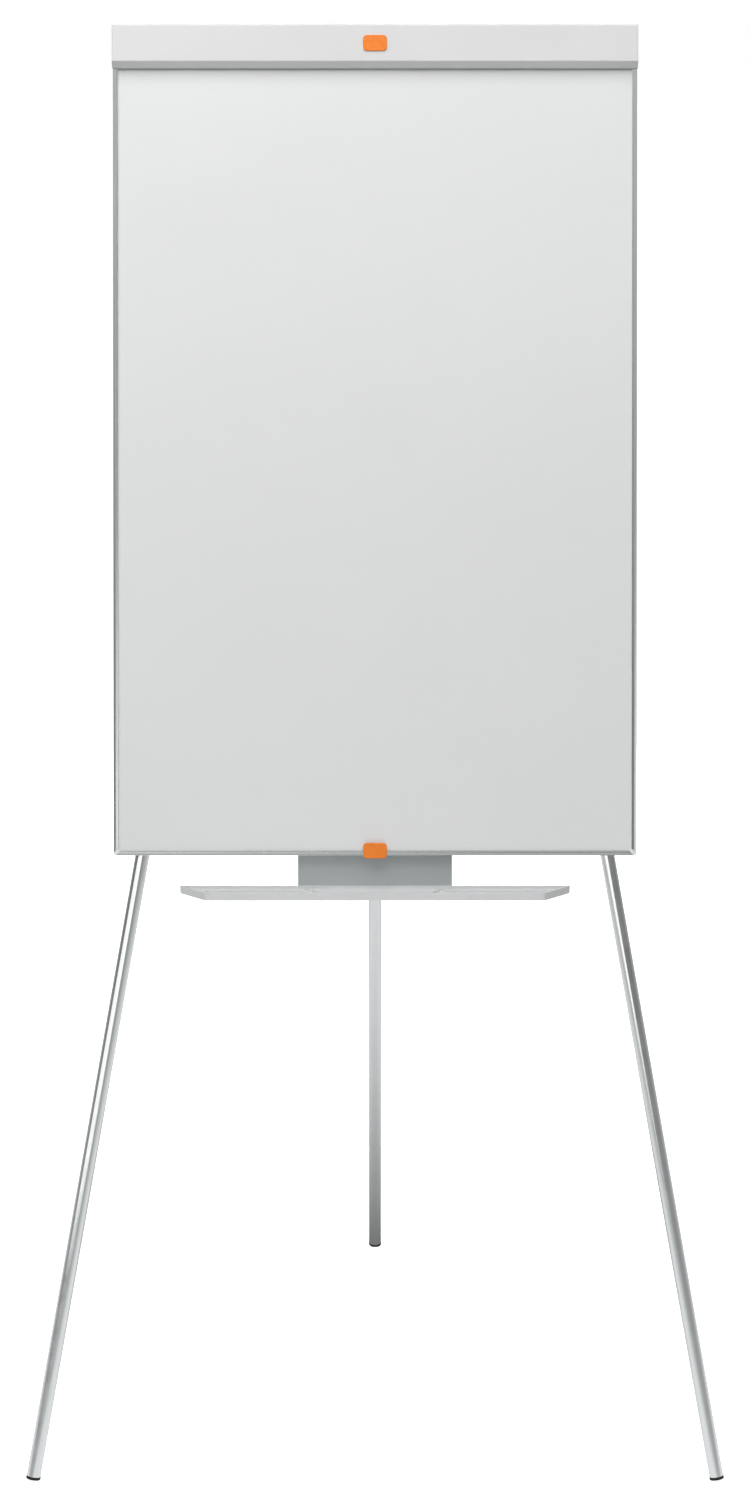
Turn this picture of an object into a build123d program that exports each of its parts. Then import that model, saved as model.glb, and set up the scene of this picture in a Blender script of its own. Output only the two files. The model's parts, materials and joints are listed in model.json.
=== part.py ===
from build123d import *
import math
import os

# Tripod flipchart easel: a framed whiteboard leaning back on two splayed front legs and one
# rear leg, with a hinged pad clamp along the top and a pen tray under the lower rail.
# Units are millimetres. +Z is up, the board faces -Y, and the origin is on the floor at the
# middle of the footprint. Left and right are as seen from the front.

# ---- driving dimensions -------------------------------------------------------------------
BOARD_WIDTH = 700.0        # outside of the frame
BOARD_HEIGHT = 1096.0      # outside of the frame, along the board
SILL_HEIGHT = 833.0        # lower edge of the board above the floor
LEAN = 12.5                # board and front legs, degrees from vertical
REAR_LEAN = 12.5           # rear leg, degrees from vertical
SPLAY = 10.0               # front legs, degrees from the board's centre line

PANEL_THICKNESS = 10.0     # steel face + core + steel back
FACE_SHEET = 0.6
BACK_SHEET = 0.4
FRAME_FRONT = 1.8          # frame lip proud of the writing surface
FRAME_BACK = 12.0          # frame depth behind the writing surface
FRAME_WALL = 1.4
FRONT_LIP = 6.4
REAR_LIP = 14.0
LIP_GAP = 0.1
COVE_EDGE = 0.5            # flat land each side of the hollow along the front lip
COVE_DEPTH = 0.6

UPPER_RADIUS = 11.0        # upper leg tube
LOWER_RADIUS = 9.5         # lower leg tube
TUBE_WALL = 1.0
FRONT_AXIS_BACK = 31.0     # front leg axes behind the writing surface
REAR_AXIS_BACK = 52.0      # rear leg pivot behind the writing surface
PIVOT_UP = 1040.0          # all three pivots, along the board from its lower edge
PIVOT_ACROSS = 130.0       # front leg pivots from the centre line
PIVOT_RADIUS = 4.0
TUBE_OVERHANG = 18.0       # tube above its pivot
FRONT_UPPER = 1032.0       # pivot to the lower end of the upper tube
REAR_UPPER = 1205.0
OVERLAP = 110.0            # lower tube held inside the upper one at full length
FOOT_THICKNESS = 4.0       # rubber under the end of the tube
FOOT_RISE = 1.35           # end of the rubber to the floor, on the tube's axis
FOOT_EDGE = 0.8
COLLAR_RADIUS = 15.6
COLLAR_ABOVE = 38.0
COLLAR_BELOW = 12.0
LEVER_BACK = 23.0          # lever pin from the tube's axis
LEVER_REACH = 46.0
RUNNING_FIT = 0.05

CLAMP_TOP = 1107.4
CLAMP_BEND = 1058.3
CLAMP_EDGE = 1050.6
CLAMP_FRONT = 14.0         # clamp face in front of the writing surface
CLAMP_EDGE_FRONT = 3.2
CLAMP_HALF = 350.6
CLAMP_WALL = 1.5
CLAMP_CAP = 2.0
HINGE_BACK = 7.5
HINGE_UP = 1102.0
HINGE_PIN_RADIUS = 2.0

HOOK_RAIL_LOW = 1066.0
HOOK_RAIL_HIGH = 1084.0
HOOK_RAIL_DEPTH = 6.0
HOOK_RAIL_HALF = 336.0
HOOK_ACROSS = 200.0

TRAY_UP = -41.2            # where the tray's top meets its bracket, along the board
TRAY_HALF = 262.0
TRAY_DEPTH = 37.0
TRAY_HEIGHT = 10.0
TRAY_END = 36.0            # each end is cut back by this much towards the front
TRAY_RIM = 2.2
TRAY_FLOOR = 4.2           # floor below the rim
WELL_DEPTH = 3.0           # pen wells below the floor
WELL_END_MARGIN = 4.2      # well ends to the tray's slanted ends, across
TRAY_CORNER = 7.0          # rounding between the front lip and each slanted end
LEDGE = 8.4                # shelf behind each pen well
BRACKET_HALF = 103.5
BRACKET_BACK = 12.2
BRACKET_WALL = 1.5
BRACKET_TOP = 26.0

BADGE_LENGTH = 32.0
BADGE_HEIGHT = 21.0
BADGE_THICKNESS = 1.6
BADGE_CORNER = 5.5

GUIDE_UP = 87.0            # middle of the leg guides
GUIDE_HEIGHT = 22.0
GUIDE_WALL = 2.5
PLATE_WALL = 2.5
SCREW_RADIUS = 2.0
SCREW_HEAD_RADIUS = 4.2
DRIVE_LENGTH = 5.0         # cross recess in each screw head
DRIVE_WIDTH = 1.0
DRIVE_DEPTH = 1.2

SCREW_CLEARANCE = 0.1
PRESS_GAP = 0.03           # between pieces that are pressed together
LAID_GAP = 0.05            # between plates that lie on each other
BORE_SPARE = 0.3           # blind bore past the piece it holds
CUT_SPARE = 1.0            # cutting shapes past the faces they open
PANEL_PLAY = 0.2           # panel edges to the inside of the frame
CORNER_WIDTH = 4.4
CORNER_PROUD = 0.5
CORNER_INSET = 2.45        # centre of the rounded nose from both outer faces
CORNER_REACH = 1.0         # strip past the inner corner of the lip
GROOVE_WIDTH = 0.6
GROOVE_DEPTH = 0.25

HOOK_WALL = 1.4
HOOK_CAVITY = 3.4
HOOK_CAVITY_MID = 2.9      # middle of the cavity, in front of the writing surface
HOOK_SLOT = 7.0
HOOK_WEB_FRONT = 1.22
HOOK_SCREW_HEAD = 1.6
HOOK_FOOT = 22.0
HOOK_FOOT_CORNER = 2.0
HOOK_PLAY = 0.3
HOOK_RADIUS = 3.0
HOOK_NECK = 6.3            # peg starts clear of the rail
HOOK_NECK_RELIEF = 0.3     # neck in the rail's slot, thinner than the peg by this much
HOOK_TIP_EDGE = 0.8
HOOK_TIP = 11.7            # peg end in front of the writing surface

CLAMP_BEND_RADIUS = 2.0
CLAMP_PLUG = 8.0           # depth of each end cap inside the bar
PLUG_GAP = 0.3
GRIP_HALF = 338.0
GRIP_WIDTH = 8.0
GRIP_THICKNESS = 1.6
GRIP_CLEAR = 0.4           # grip strip to the writing surface
BLOCK_OUTER = 348.0        # outer end of each hinge block, across
BLOCK_WIDTH = 26.0
BLOCK_RADIUS = 3.5
BLOCK_BASE = 6.0
PIN_INNER = 300.0
PIN_SETBACK = 0.2          # hinge pin ends below the caps' outer faces
SPRING_OUTER = 320.0
SPRING_TURNS = 9.5
SPRING_PITCH = 1.7
SPRING_RADIUS = 2.9
SPRING_WIRE = 0.45
SPRING_ARM = 9.0

HEAD_MID = 1040.5
HEAD_WIDTH = 320.0
HEAD_HEIGHT = 81.0
EAR_INNER = 11.6
EAR_WALL = 2.5
EAR_DEPTH = 50.0
EAR_HEIGHT = 32.0
EAR_ROOT = 0.5             # ears run this far into the plate
STOP_ALONG = 13.5          # stop pin touches the tube this far above the pivot
STOP_GAP = 0.3
PIN_TAIL = 4.0
PIN_HEAD = 2.5
PIN_HEAD_RIM = 2.0         # pin head and clip past the pin's own radius
CLIP_WIDTH = 2.5
SPACER_RADIUS = 9.0
NUT_HEIGHT = 6.5
NUT_ACROSS = 13.0          # across the flats
WASHER_RADIUS = 8.5
WASHER = 1.5
STUD_TAIL = 2.0            # thread past the nut
FACE_GAP = 0.02            # between faces that bear on each other
EAR_CORNER = 8.0
PLATE_CORNER = 6.0
GUIDE_BEND = 1.5
GUIDE_BACK = 43.0

SHELF_DEPTH = 26.0
CLIP_HALF = 13.0           # tongue that hooks round the lower rail
CLIP_GAP = 0.4
CLIP_FRONT = 2.0
CLIP_TOP = 14.0
TRAY_SCREWS = [(-60, -14), (60, -14)]
TRAY_SCREW_DEPTH = 4.4
TRAY_DRAFT = 7.0
WELL_INNER_BACK = 87.0     # slanted inner end of each pen well, from the centre line
WELL_INNER_FRONT = 66.0
LEDGE_INNER_BACK = 97.7
LEDGE_INNER_FRONT = 92.4
BADGE_TOP_UP = 1082.2
BADGE_BOTTOM_UP = 6.5

CAP_WALL = 2.0
CAP_SPIGOT = 9.0
CAP_EDGE = 1.0
LEVER_ALONG = 16.0         # lever pin above the end of the upper tube
LEVER_PIN_RADIUS = 2.0
LEVER_HUB = 5.5
LEVER_HALF = 4.3
LEVER_PLATE = 4.0
LEVER_PLATE_HALF = 8.0
LEVER_START = 8.0
LEVER_SLOT_FLOOR = 16.4
LEVER_PLATE_GAP = 0.6      # thumb plate clear of the ears
LEVER_WEB_LOW = 3.0
LEVER_WEB_HIGH = 14.0
LEVER_PIN_PROUD = 0.4
LEVER_TIP_CORNER = 5.0
RIB_COUNT = 5              # grip ribs near the lever's tip
RIB_SPACING = 4.0
RIB_RADIUS = 0.7
COLLAR_CHAMFER = 1.2
COLLAR_FIT = 0.08          # collar round the lower tube
EAR_BLOCK_HALF = 9.0
EAR_BLOCK_HEIGHT = 28.0
EAR_BLOCK_BACK = 28.0
BUSH_HEAD = 3.0
BUSH_LENGTH = 25.0
FOOT_RADIUS = 9.8
FOOT_SPIGOT = 18.0

# ---- directions and planes ----------------------------------------------------------------
COS = math.cos(math.radians(LEAN))
SIN = math.sin(math.radians(LEAN))
UP = Vector(0, SIN, COS)           # up along the board
BACK = Vector(0, COS, -SIN)        # square to the board, away from the reader

front_pivot_z = SILL_HEIGHT + PIVOT_UP * COS - FRONT_AXIS_BACK * SIN
rear_pivot_z = SILL_HEIGHT + PIVOT_UP * COS - REAR_AXIS_BACK * SIN
front_foot_run = PIVOT_UP * SIN + FRONT_AXIS_BACK * COS - front_pivot_z * math.tan(math.radians(LEAN))
rear_foot_run = PIVOT_UP * SIN + REAR_AXIS_BACK * COS + rear_pivot_z * math.tan(math.radians(REAR_LEAN))
BOARD_ORIGIN = Vector(0, -(front_foot_run + rear_foot_run) / 2, SILL_HEIGHT)

FRONT_LENGTH = front_pivot_z / (COS * math.cos(math.radians(SPLAY)))
REAR_LENGTH = rear_pivot_z / math.cos(math.radians(REAR_LEAN))


def board_point(across, back, up):
    return BOARD_ORIGIN + Vector(across, 0, 0) + BACK * back + UP * up


def board_plane(back):
    """Parallel to the board; sketch x is across, y is up the board, extrudes to the front."""
    return Plane(origin=board_point(0, back, 0), x_dir=(1, 0, 0), z_dir=BACK * -1)


def side_plane(across):
    """Section of the board; sketch x is towards the back, y is up the board."""
    return Plane(origin=board_point(across, 0, 0), x_dir=BACK, z_dir=(1, 0, 0))


def front_leg(side):
    """Leg frame at the pivot: z runs down the leg, x is towards the back."""
    splay = math.radians(SPLAY)
    down = Vector(side * math.sin(splay), 0, 0) - UP * math.cos(splay)
    pivot = board_point(side * PIVOT_ACROSS, FRONT_AXIS_BACK, PIVOT_UP)
    return Plane(origin=pivot, x_dir=BACK, z_dir=down)


def rear_leg():
    lean = math.radians(REAR_LEAN)
    down = Vector(0, math.sin(lean), -math.cos(lean))
    pivot = board_point(0, REAR_AXIS_BACK, PIVOT_UP)
    return Plane(origin=pivot, x_dir=(0, math.cos(lean), math.sin(lean)), z_dir=down)


def leg_side(leg, along):
    """Plane through the leg's axis; sketch x is towards the back, y is up the leg."""
    return Plane(origin=leg.origin + leg.z_dir * along, x_dir=leg.x_dir, z_dir=leg.y_dir)


def leg_back(leg, along):
    """Plane through the leg's axis that faces back; sketch x is across, y is down the leg."""
    return Plane(origin=leg.origin + leg.z_dir * along, x_dir=leg.y_dir, z_dir=leg.x_dir)


def save(part, node):
    part.label = node
    export_step(part, "parts/" + node + ".step")


os.makedirs("parts", exist_ok=True)

HALF = BOARD_WIDTH / 2
MID = BOARD_HEIGHT / 2
PANEL_HALF = HALF - FRAME_WALL - PANEL_PLAY
PANEL_LENGTH = BOARD_HEIGHT - 2 * (FRAME_WALL + PANEL_PLAY)
REAR_SURFACE = PANEL_THICKNESS + LAID_GAP      # where plates lie on the back sheet
PLATE_BACK = REAR_SURFACE + PLATE_WALL

GUIDE_OUTER = 311.6        # inner face of the guide's outer stop, across
GUIDE_INNER = 118.5        # inner face of its inner stop
GUIDE_TAB = 20.0
GUIDE_SCREW_INSET = GUIDE_WALL + GUIDE_TAB / 2
HEAD_SCREW_ACROSS = 150.0
HEAD_SCREW_UP = (1012.0, 1070.0)
HEAD_SCREWS = [(side * HEAD_SCREW_ACROSS, up) for side in (-1, 1) for up in HEAD_SCREW_UP]
GUIDE_SCREWS = [(side * across, GUIDE_UP) for side in (-1, 1)
                for across in (GUIDE_OUTER + GUIDE_SCREW_INSET, GUIDE_INNER - GUIDE_SCREW_INSET)]
PLATE_SCREWS = HEAD_SCREWS + GUIDE_SCREWS
TRAY_SCREW_ACROSS = 85.0
RAIL_SCREW_UP = 8.0
RAIL_SCREWS = [(-TRAY_SCREW_ACROSS, RAIL_SCREW_UP), (TRAY_SCREW_ACROSS, RAIL_SCREW_UP)]
SCREW_LENGTH = 8.6         # shank under the head
SCREW_HEAD = 2.4
HOOK_MID = (HOOK_RAIL_LOW + HOOK_RAIL_HIGH) / 2
HOOK_SCREW_ACROSS = 328.0
HOOK_SCREWS = [(side * HOOK_SCREW_ACROSS, HOOK_MID) for side in (-1, 0, 1)]

# ---- panel --------------------------------------------------------------------------------
def make_sheet(back, thickness, holes):
    """One full-size layer of the panel, with clearance holes for the screws that enter it."""
    with BuildPart() as sheet:
        with BuildSketch(board_plane(back)):
            with Locations((0, MID)):
                Rectangle(2 * PANEL_HALF, PANEL_LENGTH)
            with Locations(*holes):
                Circle(SCREW_RADIUS + SCREW_CLEARANCE, mode=Mode.SUBTRACT)
        extrude(amount=thickness)
    return sheet.part


save(make_sheet(FACE_SHEET, FACE_SHEET, HOOK_SCREWS), "whiteboard_sheet")
save(make_sheet(PANEL_THICKNESS - BACK_SHEET, PANEL_THICKNESS - BACK_SHEET - FACE_SHEET,
                PLATE_SCREWS + RAIL_SCREWS + HOOK_SCREWS), "board_core")
save(make_sheet(PANEL_THICKNESS, BACK_SHEET, PLATE_SCREWS + RAIL_SCREWS), "back_sheet")

# ---- frame: four mitred channel rails with plastic corner pieces in the mitres ------------
TOP = BOARD_HEIGHT
CORNERS = {
    "bottom_left": (-HALF, 0, 45),
    "bottom_right": (HALF, 0, 135),
    "top_right": (HALF, TOP, 225),
    "top_left": (-HALF, TOP, 315),
}
SWEEP = 40.0               # generous depth and length for cutting shapes


def make_rail(start, along, inward, length, holes):
    """A channel that grips the panel, hollowed along its front lip and mitred at both ends."""
    cove_floor = FRAME_FRONT - COVE_DEPTH
    section_plane = Plane(origin=start, x_dir=inward, z_dir=along)
    with BuildPart() as rail:
        with BuildSketch(section_plane):
            with BuildLine():
                Polyline((COVE_EDGE, FRAME_FRONT), (0, FRAME_FRONT), (0, -FRAME_BACK),
                         (REAR_LIP, -FRAME_BACK), (REAR_LIP, -PANEL_THICKNESS - LIP_GAP),
                         (FRAME_WALL, -PANEL_THICKNESS - LIP_GAP),
                         (FRAME_WALL, LIP_GAP), (FRONT_LIP, LIP_GAP), (FRONT_LIP, FRAME_FRONT),
                         (FRONT_LIP - COVE_EDGE, FRAME_FRONT))
                ThreePointArc((FRONT_LIP - COVE_EDGE, FRAME_FRONT), (FRONT_LIP / 2, cove_floor),
                              (COVE_EDGE, FRAME_FRONT))
            make_face()
        extrude(amount=length)
        with BuildSketch(Plane(origin=start, x_dir=along, z_dir=BACK * -1)):
            Polygon((-CUT_SPARE, -CUT_SPARE), (SWEEP, SWEEP), (-CUT_SPARE, SWEEP), align=None)
            Polygon((length + CUT_SPARE, -CUT_SPARE), (length + CUT_SPARE, SWEEP),
                    (length - SWEEP, SWEEP), align=None)
        extrude(amount=SWEEP, both=True, mode=Mode.SUBTRACT)
        with BuildSketch(board_plane(SWEEP / 2)):
            for across, up, angle in CORNERS.values():
                with Locations((across, up)):
                    Rectangle(2 * SWEEP, CORNER_WIDTH, rotation=angle)
            if holes:
                with Locations(*holes):
                    Circle(SCREW_RADIUS + SCREW_CLEARANCE)
        extrude(amount=SWEEP, mode=Mode.SUBTRACT)
    return rail.part


def make_corner(across, up, angle):
    """A moulded strip that fills the mitre, rounded at its nose and slightly proud."""
    inward = Vector(1, 0, 0).rotate(Axis.Z, angle)
    nose = Vector(across, up, 0) + inward * CORNER_INSET * math.sqrt(2)
    shown = (FRONT_LIP - CORNER_INSET) * math.sqrt(2) + CORNER_REACH
    hidden = (REAR_LIP - CORNER_INSET) * math.sqrt(2)
    with BuildPart() as corner:
        with BuildSketch(board_plane(FRAME_BACK)):
            with Locations((nose.X, nose.Y)):
                Circle(CORNER_WIDTH / 2)
                Rectangle(hidden, CORNER_WIDTH, rotation=angle, align=(Align.MIN, Align.CENTER))
        extrude(amount=FRAME_BACK + FRAME_FRONT + CORNER_PROUD)
        with BuildSketch(board_plane(0)):
            with Locations((nose.X + inward.X * shown, nose.Y + inward.Y * shown)):
                Rectangle(SWEEP, CORNER_WIDTH + CUT_SPARE, rotation=angle, align=(Align.MIN, Align.CENTER))
        extrude(amount=2 * FRAME_FRONT, mode=Mode.SUBTRACT)
        with BuildSketch(board_plane(PANEL_THICKNESS + LIP_GAP)):
            with Locations((0, MID)):
                Rectangle(BOARD_WIDTH - 2 * FRAME_WALL, BOARD_HEIGHT - 2 * FRAME_WALL)
        extrude(amount=PANEL_THICKNESS + 2 * LIP_GAP, mode=Mode.SUBTRACT)
        with BuildSketch(board_plane(-FRAME_FRONT - CORNER_PROUD + GROOVE_DEPTH)):
            with Locations((nose.X, nose.Y)):
                Rectangle(SWEEP, GROOVE_WIDTH, rotation=angle)
        extrude(amount=GROOVE_DEPTH, mode=Mode.SUBTRACT)
    return corner.part


for node, (across, up, angle) in CORNERS.items():
    save(make_corner(across, up, angle), "corner_" + node)

LEVEL = Vector(1, 0, 0)
save(make_rail(board_point(-HALF, 0, 0), LEVEL, UP, BOARD_WIDTH, RAIL_SCREWS), "rail_bottom")
save(make_rail(board_point(HALF, 0, 0), UP, LEVEL * -1, BOARD_HEIGHT, []), "rail_right")
save(make_rail(board_point(HALF, 0, TOP), LEVEL * -1, UP * -1, BOARD_WIDTH, []), "rail_top")
save(make_rail(board_point(-HALF, 0, TOP), UP * -1, LEVEL, BOARD_HEIGHT, []), "rail_left")

# ---- pad hooks in their slotted rail ------------------------------------------------------
with BuildPart() as hook_rail:
    with BuildSketch(side_plane(-HOOK_RAIL_HALF)):
        with Locations((-HOOK_RAIL_DEPTH / 2 - LAID_GAP, HOOK_MID)):
            Rectangle(HOOK_RAIL_DEPTH - 2 * LAID_GAP, HOOK_RAIL_HIGH - HOOK_RAIL_LOW)
        with Locations((-HOOK_CAVITY_MID, HOOK_MID)):
            Rectangle(HOOK_CAVITY, HOOK_RAIL_HIGH - HOOK_RAIL_LOW - 2 * HOOK_WALL, mode=Mode.SUBTRACT)
        with Locations((-HOOK_RAIL_DEPTH, HOOK_MID)):
            Rectangle(HOOK_RAIL_DEPTH, HOOK_SLOT, mode=Mode.SUBTRACT)
    extrude(amount=2 * HOOK_RAIL_HALF)
    with BuildSketch(board_plane(0)):
        with Locations(*HOOK_SCREWS):
            Circle(SCREW_RADIUS + SCREW_CLEARANCE)
    extrude(amount=HOOK_RAIL_DEPTH / 2, mode=Mode.SUBTRACT)
save(hook_rail.part, "hook_rail")

with BuildPart() as hook_rail_screws:
    with BuildSketch(board_plane(-HOOK_WEB_FRONT)):
        with Locations(*HOOK_SCREWS):
            Circle(HOOK_SLOT / 2 - SCREW_CLEARANCE)
    extrude(amount=HOOK_SCREW_HEAD)
    with BuildSketch(board_plane(-HOOK_WEB_FRONT)):
        with Locations(*HOOK_SCREWS):
            Circle(SCREW_RADIUS)
    extrude(amount=-SCREW_LENGTH)
    with BuildSketch(board_plane(-HOOK_WEB_FRONT - HOOK_SCREW_HEAD)):
        with Locations(*HOOK_SCREWS):
            Rectangle(DRIVE_LENGTH, DRIVE_WIDTH)
            Rectangle(DRIVE_WIDTH, DRIVE_LENGTH)
    extrude(amount=-HOOK_SCREW_HEAD / 2, mode=Mode.SUBTRACT)
save(hook_rail_screws.part, "hook_rail_screws")


def make_hook(across):
    """A peg on a flat foot that slides in the rail."""
    foot_back = HOOK_CAVITY_MID - HOOK_CAVITY / 2 + HOOK_PLAY
    foot_thickness = HOOK_CAVITY - 2 * HOOK_PLAY
    with BuildPart() as hook:
        with BuildSketch(board_plane(-foot_back)):
            with Locations((across, HOOK_MID)):
                RectangleRounded(HOOK_FOOT, HOOK_FOOT / 2, HOOK_FOOT_CORNER)
        extrude(amount=foot_thickness)
        with BuildSketch(board_plane(-foot_back)):
            with Locations((across, HOOK_MID)):
                Circle(HOOK_RADIUS - HOOK_NECK_RELIEF)
        extrude(amount=HOOK_NECK - foot_back)
        with BuildSketch(board_plane(-HOOK_NECK)):
            with Locations((across, HOOK_MID)):
                Circle(HOOK_RADIUS)
        extrude(amount=HOOK_TIP - HOOK_NECK)
        tip = hook.faces().sort_by(Axis(board_point(0, 0, 0), BACK))[0]
        fillet(tip.edges(), radius=HOOK_TIP_EDGE)
    return hook.part


save(make_hook(-HOOK_ACROSS), "pad_hook_left")
save(make_hook(HOOK_ACROSS), "pad_hook_right")

# ---- pad clamp ----------------------------------------------------------------------------
CLAMP_BODY_HALF = CLAMP_HALF - CLAMP_CAP
clamp_section = [(HINGE_BACK, CLAMP_TOP), (-CLAMP_FRONT, CLAMP_TOP), (-CLAMP_FRONT, CLAMP_BEND),
                 (-CLAMP_EDGE_FRONT, CLAMP_EDGE)]

with BuildPart() as clamp_bar:
    with BuildSketch(side_plane(-CLAMP_BODY_HALF)):
        with BuildLine():
            FilletPolyline(*clamp_section, radius=CLAMP_BEND_RADIUS)
            offset(amount=CLAMP_WALL, side=Side.LEFT)
        make_face()
    extrude(amount=2 * CLAMP_BODY_HALF)
save(clamp_bar.part, "clamp_bar")

bevel = (Vector(*clamp_section[3]) - Vector(*clamp_section[2])).normalized()
inward = bevel.rotate(Axis.Z, 90)
grip_heel = Vector(*clamp_section[3]) + inward * (CLAMP_WALL + PRESS_GAP)
grip_top = grip_heel - bevel * GRIP_WIDTH
grip_back = grip_top + inward * GRIP_THICKNESS
with BuildPart() as clamp_grip:
    with BuildSketch(side_plane(-GRIP_HALF)):
        with BuildLine():
            Polyline((grip_heel.X, grip_heel.Y), (grip_top.X, grip_top.Y), (grip_back.X, grip_back.Y),
                     (-GRIP_CLEAR, grip_heel.Y + GRIP_THICKNESS), (-GRIP_CLEAR, grip_heel.Y), close=True)
        make_face()
    extrude(amount=2 * GRIP_HALF)
save(clamp_grip.part, "clamp_grip_strip")


def make_clamp_end(side):
    """End cap: closes the folded bar, plugs into it and carries the hinge eye."""
    start = CLAMP_BODY_HALF if side > 0 else -CLAMP_HALF
    plug_start = CLAMP_BODY_HALF - CLAMP_PLUG if side > 0 else -CLAMP_BODY_HALF
    arm_low = HINGE_UP - (CLAMP_TOP - HINGE_UP)
    with BuildPart() as cap:
        with BuildSketch(side_plane(start)):
            with BuildLine():
                Polyline(clamp_section[0], (-CLAMP_FRONT + CLAMP_BEND_RADIUS, CLAMP_TOP))
                RadiusArc((-CLAMP_FRONT + CLAMP_BEND_RADIUS, CLAMP_TOP),
                          (-CLAMP_FRONT, CLAMP_TOP - CLAMP_BEND_RADIUS), -CLAMP_BEND_RADIUS)
                Polyline((-CLAMP_FRONT, CLAMP_TOP - CLAMP_BEND_RADIUS), clamp_section[2],
                         clamp_section[3], (-CLAMP_EDGE_FRONT, arm_low), (HINGE_BACK, arm_low))
                ThreePointArc((HINGE_BACK, arm_low), (HINGE_BACK + HINGE_UP - arm_low, HINGE_UP),
                              clamp_section[0])
            make_face()
            with Locations((HINGE_BACK, HINGE_UP)):
                Circle(HINGE_PIN_RADIUS + RUNNING_FIT, mode=Mode.SUBTRACT)
        extrude(amount=CLAMP_CAP)
        with BuildSketch(side_plane(plug_start)):
            Polygon((-CLAMP_FRONT, CLAMP_TOP), clamp_section[2], clamp_section[3],
                    (-CLAMP_EDGE_FRONT, CLAMP_TOP), align=None)
            offset(amount=-CLAMP_WALL - PLUG_GAP, mode=Mode.REPLACE)
        extrude(amount=CLAMP_PLUG)
    return cap.part


save(make_clamp_end(-1), "clamp_end_left")
save(make_clamp_end(1), "clamp_end_right")

with BuildPart() as hinge_blocks:
    for start in (-BLOCK_OUTER, BLOCK_OUTER - BLOCK_WIDTH):
        with BuildSketch(side_plane(start)):
            with Locations((HINGE_BACK, HINGE_UP)):
                Circle(BLOCK_RADIUS)
            with Locations((HINGE_BACK, BOARD_HEIGHT)):
                Rectangle(BLOCK_BASE, HINGE_UP - BOARD_HEIGHT, align=(Align.CENTER, Align.MIN))
            with Locations((HINGE_BACK, HINGE_UP)):
                Circle(HINGE_PIN_RADIUS + PRESS_GAP, mode=Mode.SUBTRACT)
        extrude(amount=BLOCK_WIDTH)
save(hinge_blocks.part, "clamp_hinge_blocks")

with BuildPart() as clamp_pins:
    for start in (-CLAMP_HALF + PIN_SETBACK, PIN_INNER):
        with BuildSketch(side_plane(start)):
            with Locations((HINGE_BACK, HINGE_UP)):
                Circle(HINGE_PIN_RADIUS)
        extrude(amount=CLAMP_HALF - PIN_SETBACK - PIN_INNER)
save(clamp_pins.part, "clamp_pins")


with BuildPart() as spring:
    with BuildLine() as coil:
        Helix(pitch=SPRING_PITCH, height=SPRING_TURNS * SPRING_PITCH, radius=SPRING_RADIUS)
    with BuildSketch(Plane(origin=coil.line @ 0, z_dir=coil.line % 0)):
        Circle(SPRING_WIRE)
    sweep(path=coil.line, is_frenet=True)
    for end, way in ((0, -1), (1, 1)):
        with BuildSketch(Plane(origin=coil.line @ end, z_dir=coil.line % end)):
            Circle(SPRING_WIRE)
        extrude(amount=way * SPRING_ARM)

# One arm of each torsion spring lies on the frame, the other under the clamp's top flange.
with BuildPart() as clamp_springs:
    for start in (-SPRING_OUTER, SPRING_OUTER - SPRING_TURNS * SPRING_PITCH):
        seat = Plane(origin=board_point(start, HINGE_BACK, HINGE_UP), x_dir=UP * -1, z_dir=(1, 0, 0))
        with Locations(seat):
            add(spring.part)
save(clamp_springs.part, "clamp_springs")

# ---- head bracket, pivots and leg guides --------------------------------------------------
leg_angle = math.radians(LEAN + REAR_LEAN)
stop_reach = UPPER_RADIUS + PIVOT_RADIUS + STOP_GAP
STOP_BACK = REAR_AXIS_BACK - STOP_ALONG * math.sin(leg_angle) - stop_reach * math.cos(leg_angle)
STOP_UP = PIVOT_UP + STOP_ALONG * math.cos(leg_angle) - stop_reach * math.sin(leg_angle)
REAR_PINS = [(REAR_AXIS_BACK, PIVOT_UP), (STOP_BACK, STOP_UP)]

with BuildPart() as head_bracket:
    with BuildSketch(board_plane(PLATE_BACK)):
        with Locations((0, HEAD_MID)):
            RectangleRounded(HEAD_WIDTH, HEAD_HEIGHT, PLATE_CORNER)
        with Locations(*HEAD_SCREWS):
            Circle(SCREW_RADIUS + SCREW_CLEARANCE, mode=Mode.SUBTRACT)
    extrude(amount=PLATE_WALL)
    for start in (-EAR_INNER - EAR_WALL, EAR_INNER):
        with BuildSketch(side_plane(start)):
            with Locations((PLATE_BACK - EAR_ROOT, PIVOT_UP)):
                Rectangle(EAR_DEPTH, EAR_HEIGHT, align=(Align.MIN, Align.CENTER))
            with Locations(*REAR_PINS):
                Circle(PIVOT_RADIUS + PRESS_GAP, mode=Mode.SUBTRACT)
        extrude(amount=EAR_WALL)
    ear_corners = head_bracket.edges().filter_by(Axis.X).sort_by(Axis(board_point(0, 0, 0), BACK))[-4:]
    fillet(ear_corners, radius=EAR_CORNER)
save(head_bracket.part, "head_bracket")

with BuildPart() as rear_pins:
    for back, up in REAR_PINS:
        with BuildSketch(side_plane(-EAR_INNER - EAR_WALL - PIN_TAIL)):
            with Locations((back, up)):
                Circle(PIVOT_RADIUS)
        extrude(amount=2 * (EAR_INNER + EAR_WALL) + PIN_TAIL + PIN_HEAD)
        with BuildSketch(side_plane(EAR_INNER + EAR_WALL + FACE_GAP)):
            with Locations((back, up)):
                Circle(PIVOT_RADIUS + PIN_HEAD_RIM)
        extrude(amount=PIN_HEAD)
save(rear_pins.part, "rear_pins")

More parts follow.
